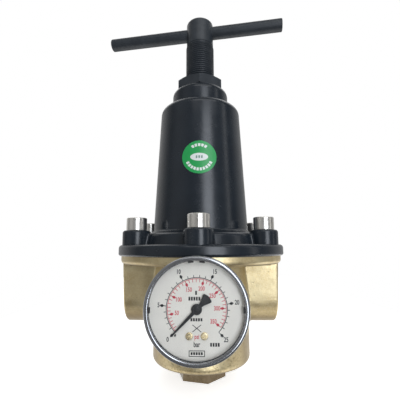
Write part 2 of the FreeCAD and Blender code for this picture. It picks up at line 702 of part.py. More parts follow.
def pointer_arbor():
    """Shaft of the pointer, with its pinion and the hairspring's collet."""
    root = PINION_R - 1.15 * GEAR_MODULE
    top = DIAL_FACE + POINTER_LIFT + 0.6
    low = PLATE_LEVELS[0][0]
    shaft = lathe([
        (0, low), (ARBOR_R, low), (ARBOR_R, GEAR_W), (root, GEAR_W), (root, GEAR_W + GEAR_FACE),
        (ARBOR_R, GEAR_W + GEAR_FACE), (ARBOR_R, COLLET_W), (COLLET_R, COLLET_W),
        (COLLET_R, COLLET_W + 1), (ARBOR_R, COLLET_W + 1), (ARBOR_R, top), (0, top),
    ])
    step = 360 / PINION_TEETH
    teeth = [tooth(PINION_R, step * (i + 0.5), root - 0.2) for i in range(PINION_TEETH)]
    return in_gauge(fused([shaft] + teeth))


def sector_gear():
    """Toothed sector that turns the pinion, with the tail that the link pulls."""
    root = SECTOR_R - 1.15 * GEAR_MODULE
    step = 360 / SECTOR_TEETH
    low = 90 - 10.5 * step
    high = 90 + 1.5 * step
    middle = (low + high) / 2
    rim = [polar(root, a) for a in (low, middle, high)]
    edges = [
        Part.LineSegment(ORIGIN, rim[0]).toShape(),
        Part.Arc(*rim).toShape(),
        Part.LineSegment(rim[2], ORIGIN).toShape(),
    ]
    fan = Part.Face(Part.Wire(edges)).extrude(V(0, 0, GEAR_FACE))
    fan.translate(V(0, 0, GEAR_W))
    window = polar(8.6, middle)
    lightening = upright(3.2, GEAR_W - 1, GEAR_W + GEAR_FACE + 1, window.x, window.y)
    hub = upright(2.6, GEAR_W, GEAR_W + GEAR_FACE)
    tail = plate([(0, -1.3), (TAIL_REACH, -1.1), (TAIL_REACH, 1.1), (0, 1.3)], GEAR_FACE, GEAR_W)
    tail = tail.fuse(upright(1.1, GEAR_W, GEAR_W + GEAR_FACE, TAIL_REACH))
    tail.rotate(ORIGIN, Z_AXIS, TAIL_ANGLE)
    teeth = [tooth(SECTOR_R, 90 - step * i, root - 0.3) for i in range(-1, 11)]
    whole = fused([fan, hub, tail] + teeth).cut([lightening, upright(1 + RUNNING_GAP, 0, DIAL_W)])
    whole.translate(V(0, SECTOR_Y, 0))
    return in_gauge(whole)


def sector_shaft():
    return in_gauge(upright(1, PLATE_LEVELS[0][0], PLATE_LEVELS[1][1], 0, SECTOR_Y))


def link():
    """Flat link between the sector's tail and the tip of the tube."""
    tail = polar(TAIL_REACH, TAIL_ANGLE) + V(0, SECTOR_Y, 0)
    tip = polar(TUBE_R, TUBE_START - TUBE_SWEEP + 3)
    along = tip - tail
    bar = plate([(0, -0.8), (along.Length, -0.8), (along.Length, 0.8), (0, 0.8)], LINK_THICKNESS, LINK_W)
    ends = [upright(1.3, LINK_W, LINK_W + LINK_THICKNESS, x) for x in (0, along.Length)]
    pins = [upright(0.6, TUBE_W + TUBE_HALF_HEIGHT, LINK_W, along.Length),
            upright(0.6, LINK_W + LINK_THICKNESS, GEAR_W, 0)]
    whole = fused([bar] + pins + ends)
    whole.rotate(ORIGIN, Z_AXIS, math.degrees(math.atan2(along.y, along.x)))
    whole.translate(tail)
    return in_gauge(whole)


def movement_plates():
    plates = []
    for low, high in PLATE_LEVELS:
        flat = plate([(-8, -23.5, 3), (7.5, -23.5, 3), (7.5, 10, 3), (-8, 10, 3)], high - low, low)
        arbor_bore = upright(ARBOR_R + RUNNING_GAP, low - 1, high + 1)
        shaft_bore = upright(1 + FIT_GAP, low - 1, high + 1, 0, SECTOR_Y)
        plates.append(flat.cut([arbor_bore, shaft_bore] + dial_screw_bores()))
    return in_gauge(Part.Compound(plates))


def dial_screw_bores():
    return [upright(1.23, PLATE_LEVELS[1][0] + 0.4, DIAL_W + 1, x, y) for x, y in DIAL_SCREW_SPOTS]


def movement_pillars():
    """Spacers between the two plates, and the posts that carry the dial."""
    spacers = [upright(1.5, PLATE_LEVELS[0][1], PLATE_LEVELS[1][0], x, y) for x, y in PILLAR_SPOTS]
    posts = [upright(2, PLATE_LEVELS[1][1], DIAL_W, x, y) for x, y in DIAL_SCREW_SPOTS]
    return in_gauge(Part.Compound(spacers + [post.cut(dial_screw_bores()) for post in posts]))


def hairspring():
    """Flat spiral of half rings, each one wider than the last."""
    thickness = 0.12
    growth = 0.42
    inner = COLLET_R
    side = 1
    centre = 0.0
    rings = []
    for _ in range(10):
        tube = upright(inner + thickness, COLLET_W + 0.1, COLLET_W + 0.9, centre)
        tube = tube.cut(upright(inner, COLLET_W, COLLET_W + 1, centre))
        half = Part.makeBox(40, 20, 3, V(-20, 0 if side > 0 else -20, COLLET_W - 1))
        rings.append(tube.common(half))
        centre += side * growth / 2
        inner += growth / 2
        side = -side
    return in_gauge(fused(rings))


# ---- Everything, one file each ----

PIECES = [
    regulator_body, bottom_plug, plug_seal, valve_seat, valve_poppet, poppet_seal, valve_spring,
    diaphragm, diaphragm_top_plate, diaphragm_bottom_plate, diaphragm_stud, diaphragm_nut,
    bonnet, bonnet_screws, label, main_spring, spring_button, adjusting_screw, tommy_bar, jam_nut,
    gauge_washer, gauge_socket, gauge_case, gauge_window, gauge_dial, dial_screws, pointer,
    pointer_stop, bourdon_tube, movement_plates, movement_pillars, pointer_arbor, sector_gear,
    sector_shaft, link, hairspring,
]

os.makedirs("parts", exist_ok=True)
for make in PIECES:
    shape = make()
    if not shape.isValid():
        print("invalid:", make.__name__)
    print(make.__name__, len(shape.Solids), round(shape.Volume, 1))
    shape.exportStep(f"parts/{make.__name__}.step")
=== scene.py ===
"""Looks for the diaphragm pressure regulator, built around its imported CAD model.

Lengths are metres in the row frame: +Z up the adjusting screw, the gauge faces -Y,
the inlet is at -X and the outlet at +X. The dial's and the label's print is laid out
in millimetres from the middle of each.
"""

import json
import math
import random

import bmesh
import bpy
from mathutils import Matrix, Vector


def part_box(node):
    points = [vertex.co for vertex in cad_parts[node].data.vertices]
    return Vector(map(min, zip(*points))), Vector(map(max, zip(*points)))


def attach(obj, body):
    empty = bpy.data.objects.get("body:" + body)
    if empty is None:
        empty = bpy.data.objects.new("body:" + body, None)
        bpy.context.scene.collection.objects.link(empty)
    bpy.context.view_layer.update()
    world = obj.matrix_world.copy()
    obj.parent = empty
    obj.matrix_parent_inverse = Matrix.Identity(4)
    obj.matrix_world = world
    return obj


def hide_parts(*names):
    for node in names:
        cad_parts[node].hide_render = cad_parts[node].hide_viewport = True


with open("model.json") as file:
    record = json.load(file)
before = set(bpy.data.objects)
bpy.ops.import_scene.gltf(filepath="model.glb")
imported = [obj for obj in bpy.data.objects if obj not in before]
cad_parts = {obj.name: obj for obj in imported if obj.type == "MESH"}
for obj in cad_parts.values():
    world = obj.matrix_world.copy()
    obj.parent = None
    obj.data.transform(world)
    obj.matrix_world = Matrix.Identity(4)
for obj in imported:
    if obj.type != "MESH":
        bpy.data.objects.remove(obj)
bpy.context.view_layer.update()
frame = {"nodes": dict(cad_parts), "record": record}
nodes = frame["nodes"]

MM = 0.001
SMOOTH_ANGLE = math.radians(32)


# ---- Places that come from the CAD ----

def middle(node):
    """Middle of a node's box at rest."""
    low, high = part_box(node)
    return (low + high) / 2


DIAL = middle("gauge_dial")
DIAL_FACE_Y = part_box("gauge_dial")[0].y
LABEL_Z = middle("label").z
SPINDLE_LOW_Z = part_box("adjusting_screw")[0].z
SPINDLE_HIGH_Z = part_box("adjusting_screw")[1].z
BAR_Z = middle("tommy_bar").z
FLANGE_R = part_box("regulator_body")[1].y
FLANGE_UNDERSIDE_Z = 90.0 * MM
PORT_Z = 66.0 * MM
PORT_FACE_X = 61.0 * MM


# ---- Mesh helpers ----

def placed(name, data):
    """A new object in the scene."""
    made = bpy.data.objects.new(name, data)
    bpy.context.scene.collection.objects.link(made)
    return made


def closed_mesh(name, points, faces, angle=SMOOTH_ANGLE):
    """A mesh with outward normals, smooth faces and sharp edges above an angle."""
    mesh = bpy.data.meshes.new(name)
    mesh.from_pydata([tuple(p) for p in points], [], faces)
    work = bmesh.new()
    work.from_mesh(mesh)
    bmesh.ops.remove_doubles(work, verts=work.verts, dist=1e-7)
    bmesh.ops.recalc_face_normals(work, faces=work.faces)
    work.to_mesh(mesh)
    work.free()
    mesh.shade_smooth()
    mesh.set_sharp_from_angle(angle=angle)
    return mesh


def evaluated_mesh(target):
    """A copy of an object's mesh with its modifiers or its curve worked out."""
    bpy.context.view_layer.update()
    depsgraph = bpy.context.evaluated_depsgraph_get()
    return bpy.data.meshes.new_from_object(target.evaluated_get(depsgraph))


def piece(name, points, faces, body, material, angle=SMOOTH_ANGLE):
    """A new object from points and faces that rides on a body."""
    mesh = closed_mesh(name, points, faces, angle)
    mesh.materials.append(material)
    made = placed(name, mesh)
    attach(made, body)
    return made


class Solid:
    """Points and faces of several closed solids that become one piece."""

    def __init__(self):
        self.points = []
        self.faces = []

    def prism(self, outline, place, low, high):
        """Closed prism of a flat outline. place turns (u, v, lift) into a point."""
        start = len(self.points)
        count = len(outline)
        self.points += [place(u, v, low) for u, v in outline]
        self.points += [place(u, v, high) for u, v in outline]
        self.faces.append([start + i for i in range(count)])
        self.faces.append([start + count + i for i in reversed(range(count))])
        for i in range(count):
            j = (i + 1) % count
            self.faces.append([start + j, start + i, start + count + i, start + count + j])

    def strip(self, inner, outer, place, low, high):
        """Closed band between two open lines with as many points each."""
        start = len(self.points)
        count = len(inner)
        for line, lift in ((inner, low), (outer, low), (outer, high), (inner, high)):
            self.points += [place(u, v, lift) for u, v in line]
        for i in range(count - 1):
            for side in range(4):
                a = start + side * count + i
                b = start + (side + 1) % 4 * count + i
                self.faces.append([a, a + 1, b + 1, b])
        for i in (0, count - 1):
            self.faces.append([start + side * count + i for side in range(4)])

    def sweep(self, rings, closed=False):
        """Skin over rings of points, capped at both ends unless closed."""
        start = len(self.points)
        around = len(rings[0])
        for ring in rings:
            self.points += ring
        for r in range(len(rings) if closed else len(rings) - 1):
            a = start + r * around
            b = start + (r + 1) % len(rings) * around
            for i in range(around):
                j = (i + 1) % around
                self.faces.append([a + i, a + j, b + j, b + i])
        if not closed:
            last = start + (len(rings) - 1) * around
            self.faces.append([start + i for i in reversed(range(around))])
            self.faces.append([last + i for i in range(around)])

    def piece(self, name, body, material, slot, angle=SMOOTH_ANGLE):
        return piece(name, self.points, self.faces, body, material, angle)


def full_turn(count):
    """Evenly spaced angles around a circle."""
    return [2 * math.pi * i / count for i in range(count)]


def arc(radius, start, end, steps):
    """Points on an arc, with angles in degrees."""
    angles = [math.radians(start + (end - start) * i / steps) for i in range(steps + 1)]
    return [(radius * math.cos(a), radius * math.sin(a)) for a in angles]


def rectangle(left, low, right, high):
    return [(left, low), (right, low), (right, high), (left, high)]


def turned(outline, degrees, radius, centre=(0, 0)):
    """Outline drawn along +u, moved out to a radius and turned to an angle around a centre."""
    a = math.radians(degrees)
    return [(centre[0] + (radius + u) * math.cos(a) - v * math.sin(a),
             centre[1] + (radius + u) * math.sin(a) + v * math.cos(a)) for u, v in outline]


# ---- Shader helpers ----

class Shader:
    """A material around one Principled shader, with short calls for its textures.

    The colour and roughness that it starts with are those of a plain preview, and
    the textures take their place.
    """

    def __init__(self, name, color, metallic, roughness):
        self.material = bpy.data.materials.new(name)
        self.material.use_nodes = True
        self.tree = self.material.node_tree
        self.bsdf = self.tree.nodes["Principled BSDF"]
        self.set("Base Color", (*color, 1))
        self.set("Metallic", metallic)
        self.set("Roughness", roughness)
        self.place = self.tree.nodes.new("ShaderNodeTexCoord").outputs["Object"]

    def set(self, socket, value):
        self.bsdf.inputs[socket].default_value = value

    def link(self, output, socket):
        self.tree.links.new(output, self.bsdf.inputs[socket])

    def node(self, kind, inputs=(), **settings):
        made = self.tree.nodes.new(kind)
        for key, value in settings.items():
            setattr(made, key, value)
        for key, value in dict(inputs).items():
            if isinstance(value, bpy.types.NodeSocket):
                self.tree.links.new(value, made.inputs[key])
            else:
                made.inputs[key].default_value = value
        return made

    def noise(self, scale, detail=3, rough=0.5):
        inputs = {"Vector": self.place, "Scale": scale, "Detail": detail, "Roughness": rough}
        return self.node("ShaderNodeTexNoise", inputs).outputs["Fac"]

    def pits(self, scale):
        """Distance to the nearest of many scattered points."""
        inputs = {"Vector": self.place, "Scale": scale}
        return self.node("ShaderNodeTexVoronoi", inputs).outputs["Distance"]

    def rings(self, scale, centre, axis, distortion):
        """Rings around an axis, as a lathe leaves them."""
        moved = self.node("ShaderNodeVectorMath", {0: self.place, 1: centre},
                          operation="SUBTRACT").outputs[0]
        inputs = {"Vector": moved, "Scale": scale, "Distortion": distortion, "Detail": 2.0}
        return self.node("ShaderNodeTexWave", inputs, wave_type="RINGS",
                         rings_direction=axis).outputs["Fac"]

    def ramp(self, value, low, high, start=0.0, end=1.0):
        """value moved from one range to another, and kept inside it."""
        inputs = {"Value": value, "From Min": low, "From Max": high,
                  "To Min": start, "To Max": end}
        return self.node("ShaderNodeMapRange", inputs).outputs[0]

    def along(self, axis):
        """Place along X or Z, in metres."""
        return self.node("ShaderNodeSeparateXYZ", {0: self.place}).outputs[axis]

    def overhang(self):
        """0 on upright and upward faces, 1 on faces that look down."""
        normal = self.node("ShaderNodeTexCoord").outputs["Normal"]
        up = self.node("ShaderNodeSeparateXYZ", {0: normal}).outputs["Z"]
        return self.ramp(up, -0.42, -0.78)

    def times(self, a, b):
        return self.node("ShaderNodeMath", {0: a, 1: b}, operation="MULTIPLY").outputs[0]

    def plus(self, a, b):
        return self.node("ShaderNodeMath", {0: a, 1: b}, operation="ADD").outputs[0]

    def mixed(self, factor, a, b):
        """Colour a where factor is 0 and b where it is 1."""
        mix = self.node("ShaderNodeMix", data_type="RGBA")
        for index, value in ((0, factor), (6, a), (7, b)):
            if isinstance(value, bpy.types.NodeSocket):
                self.tree.links.new(value, mix.inputs[index])
            else:
                mix.inputs[index].default_value = (*value, 1) if index else value
        return mix.outputs[2]

    def tones(self, scale, dark, light, low=0.35, high=0.7, detail=3, rough=0.5):
        """Colour that wanders between two."""
        return self.mixed(self.ramp(self.noise(scale, detail, rough), low, high), dark, light)

    def gloss(self, scale, smooth, dull_and_shade, detail=3, rough=0.5):
        """Makes the shader's roughness wander between two values."""
        noise = self.noise(scale, detail, rough)
        self.link(self.ramp(noise, 0.3, 0.7, smooth, dull_and_shade), "Roughness")

    def bump(self, height, depth, strength, under=None):
        """Relief whose full height is depth, in metres, over the relief under it."""
        inputs = {"Height": height, "Distance": depth, "Strength": strength}
        if under:
            inputs["Normal"] = under
        normal = self.node("ShaderNodeBump", inputs).outputs[0]
        self.link(normal, "Normal")
        return normal


# ---- Materials ----

# Brown of the painted shade on the cast brass's lower sides and on the flange's left.
PAINTED_SHADE = (0.21, 0.16, 0.09)


def cast_brass():
    """Blasted sand casting with grains, pits and patches. Painted shade darkens its faces that look
    down, its lower sides, the flange's left and, through dark specks, its lower part.
    """
    s = Shader("cast_brass", (0.76, 0.64, 0.39), 1.0, 0.42)
    base = s.tones(45, (0.66, 0.52, 0.275), (0.86, 0.735, 0.45), high=0.68, rough=0.6)
    grains = s.ramp(s.noise(900, 2, 0.7), 0.4, 0.62)
    base = s.mixed(s.times(grains, 0.3), base, (0.93, 0.84, 0.60))
    # Dark specks everywhere, far heavier low down, where they are painted shade on the lower body
    # and the bosses' bottoms.
    low_down = s.ramp(s.along("Z"), 0.062, 0.040)
    specks_and_low_shade = s.times(s.ramp(s.noise(560, 3, 0.75), 0.5, 0.64), 0.5)
    base = s.mixed(s.times(specks_and_low_shade, s.plus(low_down, 0.1)), base, (0.26, 0.20, 0.10))
    holes = s.ramp(s.pits(210), 0.13, 0.05)
    base = s.mixed(s.times(holes, 0.3), base, (0.2, 0.15, 0.08))
    # Painted shade on faces that look down.
    base = s.mixed(s.times(s.overhang(), 0.85), base, (0.16, 0.12, 0.06))
    # Painted shade on the lower left and right sides of the body, deepening outwards and downwards.
    left = s.times(s.ramp(s.along("X"), -0.018, -0.034), s.ramp(s.along("Z"), 0.064, 0.050))
    right = s.times(s.ramp(s.along("X"), 0.018, 0.034), s.ramp(s.along("Z"), 0.046, 0.034))
    base = s.mixed(s.times(s.plus(left, right), 0.85), base, PAINTED_SHADE)
    # Painted shade on the brass flange's left half, deepening to the left.
    flange_left_shade = s.times(s.ramp(s.along("X"), 0.0, -0.05), s.ramp(s.along("Z"), 0.084, 0.090))
    base = s.mixed(s.times(flange_left_shade, 0.32), base, PAINTED_SHADE)
    s.link(base, "Base Color")
    s.gloss(160, 0.34, 0.48, 4, 0.6)
    rough = s.bump(s.noise(1100, 3, 0.65), 0.00009, 0.8)
    waves = s.bump(s.noise(150, 2, 0.5), 0.0003, 0.5, rough)
    s.bump(s.ramp(s.pits(210), 0.05, 0.16), 0.00010, 0.5, waves)
    return s.material


def turned_brass(name, color, axis="Z", centre=(0, 0, 0), roughness=0.27):
    """Turned or milled brass with fine tool marks, and painted shade in dark brown low on the
    bottom plug.
    """
    s = Shader(name, color, 1.0, roughness)
    dark = tuple(c * 0.8 for c in color)
    clean = s.tones(130, dark, color)
    # Painted shade: dark brown low on the bottom plug, in place of a dark reflection below it.
    dull_and_shade = s.tones(300, (0.155, 0.12, 0.074), (0.215, 0.168, 0.108))
    s.link(s.mixed(s.ramp(s.along("Z"), 0.0131, 0.0124), clean, dull_and_shade), "Base Color")
    s.gloss(300, roughness - 0.06, roughness + 0.1)
    s.bump(s.rings(1500, centre, axis, 1.0), 0.00002, 0.4)
    return s.material


def worn_metal(name, color, roughness, grain, depth):
    """Drawn, ground or plated metal with a fine grain."""
    s = Shader(name, color, 1.0, roughness)
    dark = tuple(c * 0.78 for c in color)
    s.link(s.tones(220, dark, color), "Base Color")
    s.gloss(grain / 3, roughness - 0.05, roughness + 0.08)
    s.bump(s.noise(grain, 2), depth, 0.5)
    return s.material


def black_paint():
    """Semi-gloss paint over a smooth casting, with a faint orange peel low down."""
    s = Shader("black_paint", (0.011, 0.0165, 0.0235), 0.0, 0.24)
    s.link(s.tones(60, (0.009, 0.014, 0.0205), (0.0125, 0.0185, 0.026)), "Base Color")
    s.gloss(90, 0.21, 0.29, 4, 0.6)
    low_down = s.ramp(s.along("Z"), 0.165, 0.115)
    s.bump(s.times(s.noise(420, 2, 0.5), low_down), 0.00005, 0.5)
    return s.material


def blackened_steel():
    """Oil-blackened steel, a little lighter where hands have worn it."""
    s = Shader("blackened_steel", (0.022, 0.027, 0.034), 0.0, 0.42)
    tones = s.tones(110, (0.018, 0.0235, 0.030), (0.030, 0.037, 0.045), 0.4, 0.75, 4, 0.6)
    s.link(tones, "Base Color")
    s.gloss(260, 0.36, 0.5)
    s.bump(s.noise(1400, 3, 0.6), 0.00003, 0.5)
    return s.material


def bright_steel():
    """Smooth bright screw heads."""
    s = Shader("bright_steel", (0.82, 0.80, 0.76), 1.0, 0.24)
    s.link(s.tones(170, (0.76, 0.735, 0.68), (0.86, 0.84, 0.80), 0.3), "Base Color")
    s.gloss(120, 0.26, 0.31)
    return s.material


def gauge_chrome():
    """Polished stainless ring with lines turned around the gauge's axis."""
    s = Shader("gauge_chrome", (0.42, 0.43, 0.45), 1.0, 0.2)
    s.link(s.tones(60, (0.36, 0.37, 0.39), (0.42, 0.43, 0.45)), "Base Color")
    s.gloss(90, 0.17, 0.22)
    s.bump(s.rings(700, tuple(DIAL), "Y", 0.1), 0.00002, 0.4)
    return s.material


def matt(name, color, roughness, grain, depth):
    """Rubber, print, film or matt paint with a fine grain and a little unevenness."""
    s = Shader(name, color, 0.0, roughness)
    dark = tuple(c * 0.93 for c in color)
    s.link(s.tones(90, dark, color, 0.3), "Base Color")
    s.gloss(grain / 4, roughness - 0.05, roughness + 0.07, 2)
    s.bump(s.noise(grain, 2), depth, 0.4)
    return s.material


def clear_window():
    """Clear plastic. Its outer faces mirror weakly, with faint wipe marks.

    Its inner faces let everything through, so it never turns into a mirror from
    inside.
    """
    s = Shader("clear_window", (1, 1, 1), 0.0, 0.04)
    links = s.tree.links
    mirror = s.node("ShaderNodeBsdfGlossy", {"Color": (1, 1, 1, 1)})
    wipes = s.ramp(s.noise(140, 4, 0.6), 0.3, 0.75, 0.03, 0.12)
    links.new(wipes, mirror.inputs["Roughness"])
    clear = s.node("ShaderNodeBsdfTransparent", {"Color": (0.99, 0.995, 0.992, 1)})
    fresnel = s.node("ShaderNodeFresnel", {"IOR": 1.46}).outputs[0]
    inner = s.node("ShaderNodeNewGeometry").outputs["Backfacing"]
    share = s.node("ShaderNodeMath", {0: fresnel, 1: inner}, operation="SUBTRACT", use_clamp=True)
    inputs = {0: share.outputs[0], 1: clear.outputs[0], 2: mirror.outputs[0]}
    mix = s.node("ShaderNodeMixShader", inputs)
    links.new(mix.outputs[0], s.tree.nodes["Material Output"].inputs["Surface"])
    s.tree.nodes.remove(s.bsdf)
    return s.material


BLACK = (0.010, 0.010, 0.012)
RED = (0.62, 0.045, 0.075)
WHITE = (0.80, 0.84, 0.81)
GREY = (0.16, 0.30, 0.24)
LABEL_GREEN = (0.014, 0.36, 0.085)
DIAL_WHITE = (0.855, 0.815, 0.755)
BRASS = (0.80, 0.665, 0.38)
WASHER_BRASS = (0.72, 0.53, 0.34)
SCREW_BRASS = (0.93, 0.78, 0.50)

LOOKS = {
    "cast_brass": cast_brass(),
    "turned_brass": turned_brass("turned_brass", BRASS),
    "washer_brass": turned_brass("washer_brass", WASHER_BRASS, "Y", tuple(DIAL), 0.35),
    "screw_brass": turned_brass("screw_brass", SCREW_BRASS, "Y", tuple(DIAL), 0.3),
    "tube_brass": worn_metal("tube_brass", (0.66, 0.47, 0.28), 0.38, 1600, 0.00004),
    "movement_brass": worn_metal("movement_brass", (0.80, 0.67, 0.38), 0.26, 2500, 0.00002),
    "movement_steel": worn_metal("movement_steel", (0.62, 0.62, 0.62), 0.22, 2500, 0.00002),
    "seal_rubber": matt("seal_rubber", (0.02, 0.02, 0.02), 0.62, 1800, 0.00005),
    "diaphragm_rubber": matt("diaphragm_rubber", (0.035, 0.035, 0.038), 0.7, 1300, 0.00008),
    "spring_steel": worn_metal("spring_steel", (0.36, 0.37, 0.39), 0.33, 1500, 0.00004),
    "plated_steel": worn_metal("plated_steel", (0.68, 0.68, 0.63), 0.28, 1800, 0.00003),
    "black_paint": black_paint(),
    "bright_steel": bright_steel(),
    "label_film": matt("label_film", LABEL_GREEN, 0.36, 2600, 0.00002),
    "blackened_steel": blackened_steel(),
    "gauge_chrome": gauge_chrome(),
    "clear_window": clear_window(),
    "dial_paint": matt("dial_paint", DIAL_WHITE, 0.55, 2600, 0.00001),
    "pointer_black": matt("pointer_black", BLACK, 0.42, 2600, 0.00002),
}

for entry in frame["record"]["subparts"]:
    mesh = nodes[entry["node"]].data
    mesh.materials.clear()
    mesh.materials.append(LOOKS[entry["material_slot"]])

INK_BLACK = matt("ink_black", BLACK, 0.5, 2600, 0.000004)
INK_RED = matt("ink_red", RED, 0.5, 2600, 0.000004)
INK_WHITE = matt("ink_white", WHITE, 0.4, 2600, 0.000004)
INK_GREY = matt("ink_grey", GREY, 0.4, 2600, 0.000004)


# ---- Adjusting screw with a true thread ----

SPINDLE_SIDES = 96
SPINDLE_TIP = ((0.5, 0), (6.0, 0), (6.9, 0.25), (8.4, 3.9), (11.4, 6.4))  # radius and rise, mm
THREAD_PITCH = 2.0 * MM
THREAD_ROWS_PER_TURN = 10
THREAD_CREST_R = 13.4 * MM
THREAD_ROOT_R = 12.35 * MM
THREAD_LOW_Z = 217.0 * MM
THREAD_HIGH_Z = 296.0 * MM
THREAD_RUN_OUT = THREAD_PITCH * 0.6
HEAD_R = 12.85 * MM
HEAD_LOW_FILLET = 0.5 * MM
HEAD_TOP_FILLET = 2.2 * MM
HEAD_TOP_STEPS = 7
HEAD_TOP_RADII = (9.5, 5.0, 0.5)
BAR_HOLE_R = 5.96 * MM
BAR_TURN = math.radians(-8)
DRILL_REACH = 22 * MM


def thread_radius(turn):
    """Radius at a share of one turn: flat crest and root with straight flanks between."""
    rise = abs(turn % 1.0 - 0.5) * 2
    crest = min(max((rise - 0.12) / 0.66, 0), 1)
    return THREAD_ROOT_R + (THREAD_CREST_R - THREAD_ROOT_R) * crest


def spindle():
    """Pointed tip, helical thread and plain head with the hole for the bar."""
    turn = full_turn(SPINDLE_SIDES)
    rings = []

    def ring(z, radii):
        rings.append([Vector((r * math.cos(a), r * math.sin(a), z)) for a, r in zip(turn, radii)])

    def round_ring(z, radius):
        ring(z, [radius] * SPINDLE_SIDES)

    for radius, rise in SPINDLE_TIP:
        round_ring(SPINDLE_LOW_Z + rise * MM, radius * MM)
    length = THREAD_HIGH_Z - THREAD_LOW_Z
    rows = int(length / THREAD_PITCH * THREAD_ROWS_PER_TURN)
    for i in range(rows + 1):
        z = THREAD_LOW_Z + length * i / rows
        fade = min((z - THREAD_LOW_Z) / THREAD_RUN_OUT, (THREAD_HIGH_Z - z) / THREAD_RUN_OUT, 1)
        full = [thread_radius(z / THREAD_PITCH - a / (2 * math.pi)) for a in turn]
        ring(z, [THREAD_ROOT_R + (radius - THREAD_ROOT_R) * fade for radius in full])
    neck_z = THREAD_HIGH_Z + HEAD_LOW_FILLET
    for share in (0, 0.33, 0.67, 1):
        angle = share * math.pi / 2
        round_ring(neck_z + HEAD_LOW_FILLET * math.sin(angle),
                   HEAD_R - HEAD_LOW_FILLET * math.cos(angle))
    for i in range(HEAD_TOP_STEPS + 1):
        angle = math.pi / 2 * i / HEAD_TOP_STEPS
        round_ring(SPINDLE_HIGH_Z - HEAD_TOP_FILLET + HEAD_TOP_FILLET * math.sin(angle),
                   HEAD_R - HEAD_TOP_FILLET + HEAD_TOP_FILLET * math.cos(angle))
    for radius in HEAD_TOP_RADII:
        round_ring(SPINDLE_HIGH_Z, radius * MM)
    solid = Solid()
    solid.sweep(rings)
    made = solid.piece("adjusting_screw_threaded", "adjusting_screw", LOOKS["blackened_steel"],
                       "blackened_steel")
    drill(made)
    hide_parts("adjusting_screw")


def drill(target):
    """Cuts the cross hole that the bar goes through."""
    along = Vector((math.cos(BAR_TURN), math.sin(BAR_TURN), 0))
    side = Vector((-along.y, along.x, 0))
    up = Vector((0, 0, 1))
    rings = []
    for end in (-1, 1):
        centre = Vector((0, 0, BAR_Z)) + along * DRILL_REACH * end
        rings.append([centre + (side * math.cos(t) + up * math.sin(t)) * BAR_HOLE_R
                      for t in full_turn(48)])
    solid = Solid()
    solid.sweep(rings)
    cutter = placed("drill", closed_mesh("drill", solid.points, solid.faces))
    cut = target.modifiers.new("cross_hole", "BOOLEAN")
    cut.object = cutter
    cut.operation = "DIFFERENCE"
    cut.solver = "EXACT"
    result = evaluated_mesh(target)
    target.modifiers.clear()
    target.data = result
    result.set_sharp_from_angle(angle=SMOOTH_ANGLE)
    bpy.data.objects.remove(cutter)


# ---- Threads in the ports ----

PORT_THREAD_PITCH = 2.309 * MM
PORT_THREAD_INSET = 2.6 * MM
PORT_THREAD_TURNS = 7
PORT_THREAD_STEPS = 72  # a turn
PORT_THREAD_FADE = 12  # steps
PORT_BORE_R = 15.14 * MM
PORT_CREST_R = 14.55 * MM
PORT_CREST_PROUD = 0.02 * MM
PORT_ROOT_HALF = 0.9
PORT_CREST_HALF = 0.22


def port_thread(name, side):
    """Helical ridge that stands inside a port's bore."""
    start_x = PORT_FACE_X - PORT_THREAD_INSET
    steps = PORT_THREAD_TURNS * PORT_THREAD_STEPS
    rings = []
    for i in range(steps + 1):
        angle = 2 * math.pi * i / PORT_THREAD_STEPS
        x = start_x - PORT_THREAD_PITCH * i / PORT_THREAD_STEPS
        fade = min(min(i, steps - i) / PORT_THREAD_FADE, 1)
        crest = PORT_BORE_R - (PORT_BORE_R - PORT_CREST_R) * fade - PORT_CREST_PROUD
        section = [(PORT_ROOT_HALF, PORT_BORE_R), (PORT_CREST_HALF, crest),
                   (-PORT_CREST_HALF, crest), (-PORT_ROOT_HALF, PORT_BORE_R)]
        rings.append([Vector((side * (x + across * MM), radius * math.cos(angle) * side,
                              PORT_Z + radius * math.sin(angle))) for across, radius in section])
    solid = Solid()
    solid.sweep(rings)
    solid.piece(name, "body", LOOKS["turned_brass"], "turned_brass", math.radians(20))


# ---- Dial ----

ZERO_ANGLE = 225.0
DEGREES_PER_BAR = 10.8
CROWDED_BARS = 10
CROWDING = 3.4  # degrees at the middle of the crowded bars
BAR_PER_PSI = 0.0689476
INK_LOW = -0.01
INK_HIGH = 0.03
BAR_LINE_R = 17.8
BAR_TICK_R = 19.3
BAR_MAIN_TICK_R = 20.2
BAR_DIAMOND_R = 20.3
BAR_NUMBER_R = 23.7
BAR_FIVE_R = 22.4  # the 5 stands further in than the other numbers
PSI_LINE_R = 17.15
PSI_TICK_R = 15.2
PSI_DIAMOND_R = 15.0
PSI_NUMBER_R = 11.8
NUMERAL_SQUEEZE = 0.72


def on_dial(u, v, lift):
    """Point on the dial's face: u across and v up from its centre."""
    return Vector((DIAL.x + u * MM, DIAL_FACE_Y - lift * MM, DIAL.z + v * MM))


def scale_angle(bar):
    """Angle of a pressure. The first ten bar are a little crowded at their lower end."""
    crowding = CROWDING * math.sin(math.pi * min(bar, CROWDED_BARS) / CROWDED_BARS)
    return ZERO_ANGLE - DEGREES_PER_BAR * bar + crowding


def dash(solid, angle, inner, outer, width):
    outline = rectangle(0, -width / 2, outer - inner, width / 2)
    solid.prism(turned(outline, angle, inner), on_dial, INK_LOW, INK_HIGH)


def diamond(solid, angle, radius, half_length, half_width):
    outline = [(-half_length, 0), (-0.2, -half_width), (0.4, -half_width), (half_length, -0.2),
               (half_length, 0.2), (0.4, half_width), (-0.2, half_width)]
    solid.prism(turned(outline, angle, radius), on_dial, INK_LOW, INK_HIGH)


def scale_line(solid, radius, width, last_bar):
    ends = scale_angle(last_bar), scale_angle(0)
    inner = arc(radius - width / 2, *ends, 120)
    outer = arc(radius + width / 2, *ends, 120)
    solid.strip(inner, outer, on_dial, INK_LOW, INK_HIGH)


